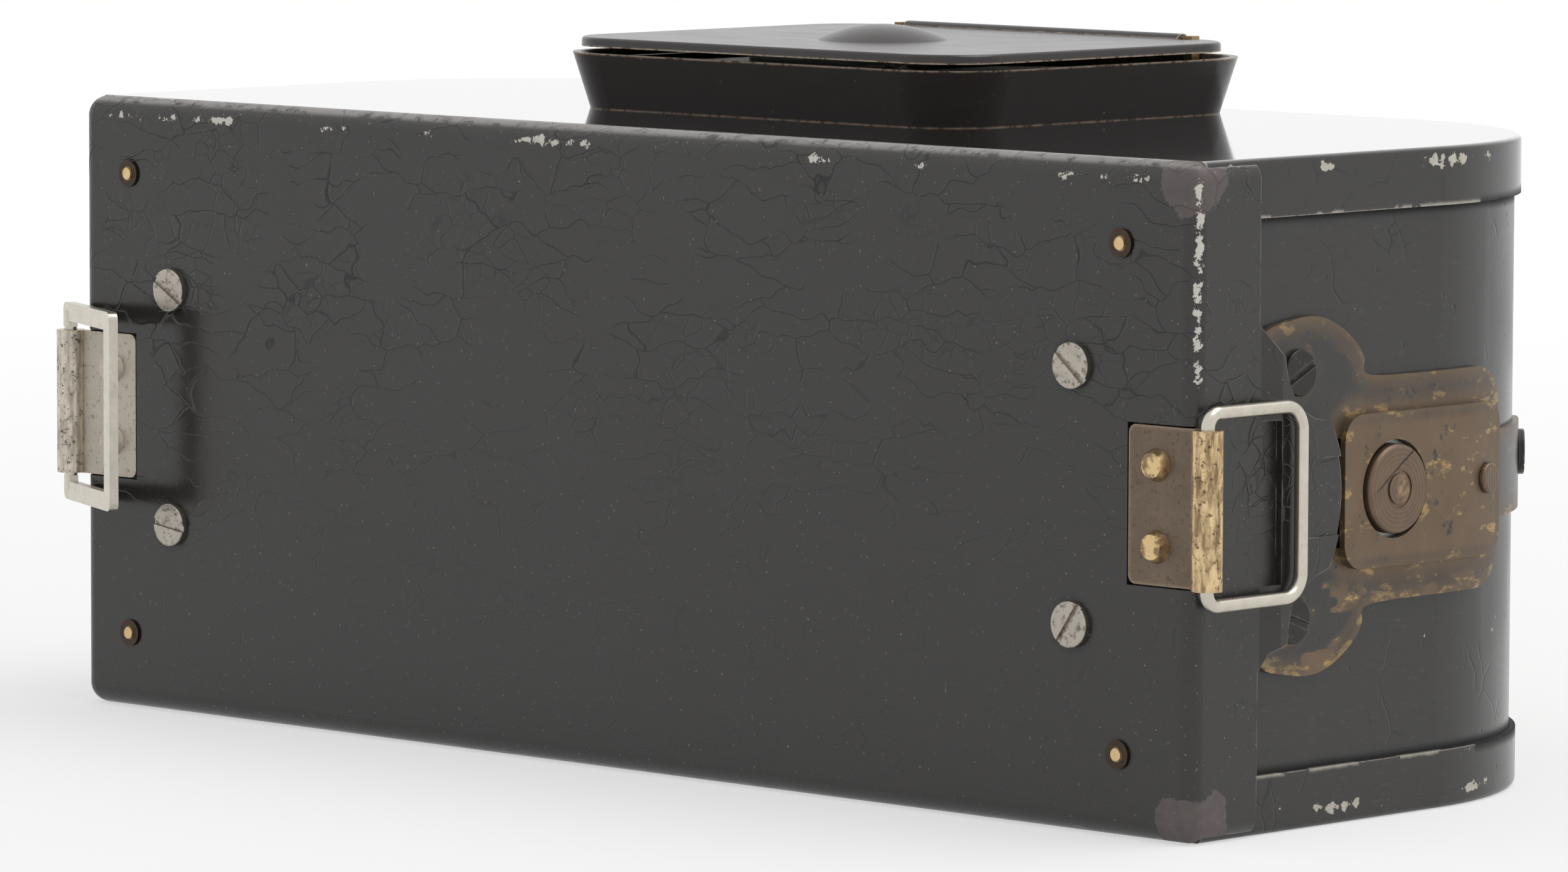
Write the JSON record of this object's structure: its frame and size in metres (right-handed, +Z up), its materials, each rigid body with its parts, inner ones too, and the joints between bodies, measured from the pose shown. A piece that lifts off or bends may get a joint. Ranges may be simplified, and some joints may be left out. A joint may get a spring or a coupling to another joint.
{
  "type": "twin lens reflex camera",
  "caption": "Wide metal reflex camera for stereo glass plates, with rounded front corners, lift-off rear cover, folded viewing hood, end latches, strap bails and a focusing lens board.",
  "frame": {"origin": "mouth of the tripod bush, in the middle of the underside", "axes": "+X along the width, +Y towards the lenses, +Z up"},
  "size_m": [0.1566, 0.0845, 0.0684],
  "materials": {
    "body_enamel": "black stoving enamel, crackled with age, on sheet brass",
    "hood_enamel": "brown-black enamel worn through to brass at the rim",
    "aged_brass": "dull brown brass with traces of black paint",
    "worn_brass": "bright worn brass",
    "nickel": "nickel plate, slightly yellowed",
    "steel": "plain steel",
    "blackened_steel": "blackened steel",
    "front_enamel": "black enamel",
    "optical_glass": "clear polished glass",
    "frosted_glass": "ground glass",
    "silvered_glass": "surface-silvered mirror"
  },
  "bodies": {
    "camera_body": {"body_shell": "body_enamel", "top_cover": "body_enamel", "base_cover": "body_enamel", "tripod_bush": "aged_brass", "film_gate": "body_enamel", "plate_sheath": "body_enamel", "glass_plate": "optical_glass", "mirror_box": "body_enamel", "mirror": "silvered_glass", "mirror_holder": "body_enamel", "ground_glass": "frosted_glass", "glass_retainer": "body_enamel", "hood_frame": "hood_enamel", "hood_hinge_pins": "worn_brass", "latch_plate_right": "aged_brass", "latch_plate_left": "aged_brass", "latch_pins": "worn_brass", "latch_screws": "blackened_steel", "guide_bushes": "aged_brass", "shaft_bearings": "aged_brass"},
    "rear_cover": {"rear_cover": "body_enamel", "light_trap_frame": "body_enamel", "cover_screws": "nickel", "cover_rivets": "worn_brass", "pressure_plate": "steel", "pressure_springs": "steel", "lug_plate_right": "aged_brass", "lug_plate_left": "aged_brass", "lug_rivets": "worn_brass"},
    "strap_bail_right": {"strap_bail_right": "nickel"},
    "strap_bail_left": {"strap_bail_left": "nickel"},
    "latch_right": {"latch_spring_right": "steel", "latch_button_right": "aged_brass"},
    "latch_left": {"latch_spring_left": "steel", "latch_button_left": "aged_brass"},
    "hood_front_leaf": {"hood_front_leaf": "hood_enamel"},
    "hood_rear_leaf": {"hood_rear_leaf": "hood_enamel"},
    "hood_left_leaf": {"hood_left_leaf": "hood_enamel"},
    "hood_right_leaf": {"hood_right_leaf": "hood_enamel"},
    "magnifier": {"magnifier_frame": "hood_enamel", "magnifier_lens": "optical_glass"},
    "lens_board": {"lens_board": "front_enamel", "lens_sleeve": "body_enamel", "focus_racks": "aged_brass", "guide_rods": "steel", "shutter_housing": "front_enamel", "taking_lens_barrel_right": "worn_brass", "taking_lens_barrel_left": "worn_brass", "viewing_lens_barrel": "worn_brass", "taking_lens_glass": "optical_glass", "viewing_lens_glass": "optical_glass", "pivot_screws": "nickel"},
    "focus_drive": {"focus_knob": "nickel", "focus_shaft": "steel", "focus_pinions": "aged_brass"},
    "speed_dial": {"speed_dial": "nickel"},
    "aperture_lever": {"aperture_lever": "nickel"},
    "cocking_lever": {"cocking_lever": "nickel"},
    "release_lever": {"release_lever": "nickel"}
  },
  "joints": [
    {"name": "rear_cover_slide", "type": "slide", "parent": "camera_body", "child": "rear_cover", "axis": [0, -1, 0], "range_m": [0, 0.025]},
    {"name": "strap_bail_right_swing", "type": "hinge", "parent": "rear_cover", "child": "strap_bail_right", "pos_m": [0.0742, -0.03265, 0.02975], "axis": [0, 0, 1], "range_deg": [-243, 0]},
    {"name": "strap_bail_left_swing", "type": "hinge", "parent": "rear_cover", "child": "strap_bail_left", "pos_m": [-0.0742, -0.03265, 0.02975], "axis": [0, 0, 1], "range_deg": [-243, 6]},
    {"name": "latch_right_press", "type": "hinge", "parent": "camera_body", "child": "latch_right", "pos_m": [0.07109, 0.00797, 0.0297], "axis": [0, 0, -1], "range_deg": [0, 3], "stiffness_Nm_per_rad": 0.05},
    {"name": "latch_left_press", "type": "hinge", "parent": "camera_body", "child": "latch_left", "pos_m": [-0.07109, 0.00797, 0.0297], "axis": [0, 0, 1], "range_deg": [0, 3], "stiffness_Nm_per_rad": 0.05},
    {"name": "hood_front_fold", "type": "hinge", "parent": "camera_body", "child": "hood_front_leaf", "pos_m": [0, 0.0279, 0.0664], "axis": [-1, 0, 0], "range_deg": [0, 90]},
    {"name": "hood_rear_fold", "type": "hinge", "parent": "camera_body", "child": "hood_rear_leaf", "pos_m": [0, -0.0109, 0.0623], "axis": [1, 0, 0], "range_deg": [0, 90]},
    {"name": "hood_right_fold", "type": "hinge", "parent": "camera_body", "child": "hood_right_leaf", "pos_m": [0.0239, 0.008, 0.0639], "axis": [0, 1, 0], "range_deg": [0, 90]},
    {"name": "hood_left_fold", "type": "hinge", "parent": "camera_body", "child": "hood_left_leaf", "pos_m": [-0.0239, 0.008, 0.0639], "axis": [0, -1, 0], "range_deg": [0, 90]},
    {"name": "magnifier_fold", "type": "hinge", "parent": "hood_front_leaf", "child": "magnifier", "pos_m": [0, 0.0084, 0.0652], "axis": [1, 0, 0], "range_deg": [0, 90]},
    {"name": "lens_board_focus", "type": "slide", "parent": "camera_body", "child": "lens_board", "axis": [0, 1, 0], "range_m": [0, 0.004]},
    {"name": "focus_knob_turn", "type": "hinge", "parent": "camera_body", "child": "focus_drive", "pos_m": [0, 0.0005, 0.0125], "axis": [1, 0, 0], "range_deg": [0, 76.5]},
    {"name": "speed_dial_turn", "type": "hinge", "parent": "lens_board", "child": "speed_dial", "pos_m": [0.0155, 0.042, 0.0405], "axis": [0, 1, 0], "range_deg": [0, 300]},
    {"name": "aperture_lever_swing", "type": "hinge", "parent": "lens_board", "child": "aperture_lever", "pos_m": [-0.0155, 0.042, 0.04], "axis": [0, 1, 0], "range_deg": [-30, 30]},
    {"name": "cocking_lever_swing", "type": "hinge", "parent": "lens_board", "child": "cocking_lever", "pos_m": [0.0155, 0.042, 0.02], "axis": [0, 1, 0], "range_deg": [0, 50]},
    {"name": "release_lever_swing", "type": "hinge", "parent": "lens_board", "child": "release_lever", "pos_m": [-0.0155, 0.042, 0.02], "axis": [0, 1, 0], "range_deg": [0, 20], "stiffness_Nm_per_rad": 0.004}
  ],
  "couplings": [
    {"joint": "hood_rear_fold", "follows": "hood_front_fold", "ratio": 1},
    {"joint": "hood_right_fold", "follows": "hood_front_fold", "ratio": 1},
    {"joint": "hood_left_fold", "follows": "hood_front_fold", "ratio": 1},
    {"joint": "magnifier_fold", "follows": "hood_front_fold", "ratio": 1},
    {"joint": "focus_knob_turn", "follows": "lens_board_focus", "rad_per_m": 333.33}
  ]
}
